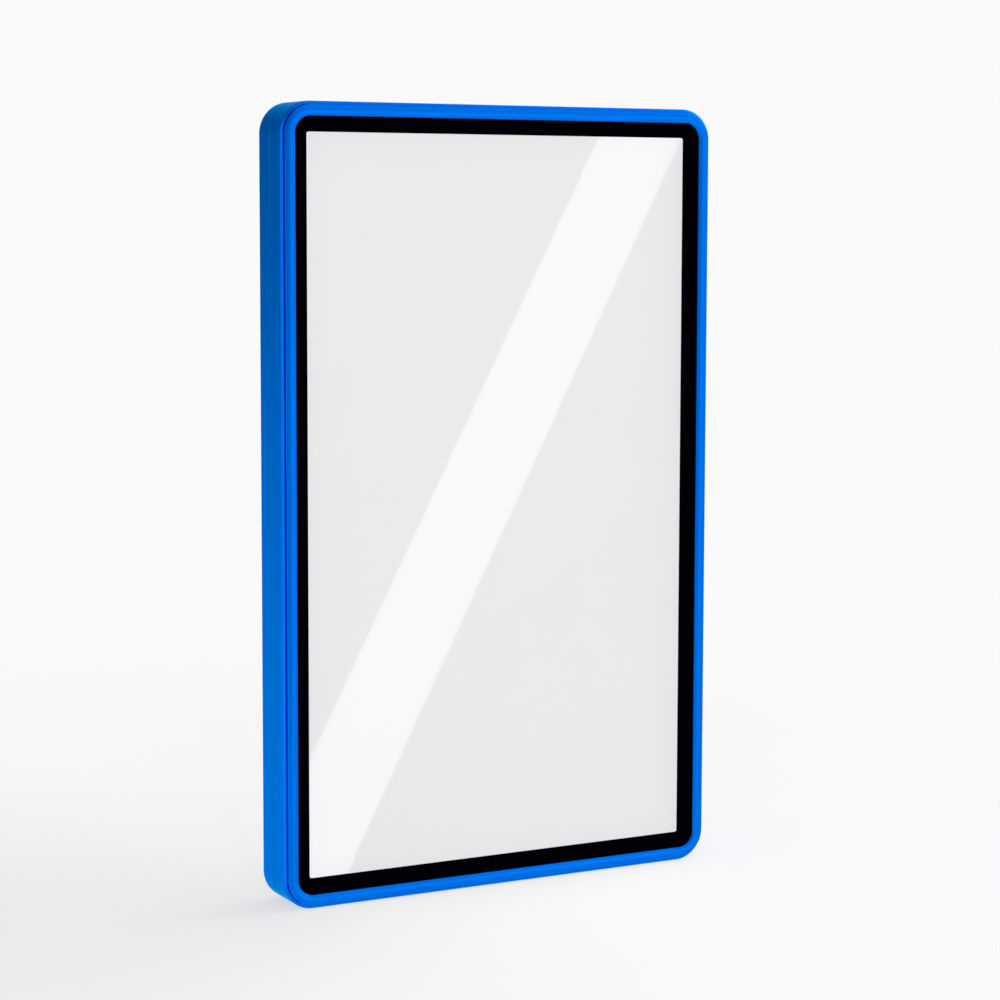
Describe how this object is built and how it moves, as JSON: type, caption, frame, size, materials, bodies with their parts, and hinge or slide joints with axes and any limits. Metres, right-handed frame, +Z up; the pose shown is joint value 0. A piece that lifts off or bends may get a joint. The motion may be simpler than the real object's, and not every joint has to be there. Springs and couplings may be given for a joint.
{
  "type": "graded card case",
  "caption": "Two-part magnetic metal display case for a graded trading card in its plastic holder, with clear windows front and back inside black borders.",
  "frame": {"origin": "centre of the case's bottom edge: middle of the width and depth, at the surface it stands on", "axes": "+Z up the case's height, X across its width, -Y out of the front window"},
  "size_m": [0.089, 0.0114, 0.1454],
  "materials": {
    "blue_anodised": "satin anodised",
    "clear_pane": "gloss",
    "black_print": "gloss",
    "tape": "matte",
    "nickel": "plated",
    "soft_strip": "soft foam"
  },
  "bodies": {
    "rear_half": {"rear_shell": "blue_anodised", "rear_bezel": "blue_anodised", "rear_pane": "clear_pane", "rear_border": "black_print", "rear_tape": "tape", "rear_magnet_top_1": "nickel", "rear_magnet_top_2": "nickel", "rear_magnet_top_3": "nickel", "rear_magnet_top_4": "nickel", "rear_magnet_bottom_1": "nickel", "rear_magnet_bottom_2": "nickel", "rear_magnet_bottom_3": "nickel", "rear_magnet_bottom_4": "nickel", "cushion_left": "soft_strip", "cushion_right": "soft_strip", "cushion_top": "soft_strip", "cushion_bottom": "soft_strip"},
    "front_half": {"front_shell": "blue_anodised", "front_bezel": "blue_anodised", "front_pane": "clear_pane", "front_border": "black_print", "front_tape": "tape", "front_magnet_top_1": "nickel", "front_magnet_top_2": "nickel", "front_magnet_top_3": "nickel", "front_magnet_top_4": "nickel", "front_magnet_bottom_1": "nickel", "front_magnet_bottom_2": "nickel", "front_magnet_bottom_3": "nickel", "front_magnet_bottom_4": "nickel"}
  },
  "joints": [
    {"name": "cover_slide", "type": "slide", "parent": "rear_half", "child": "front_half", "axis": [0, -1, 0], "range_m": [0, 0.04]}
  ]
}
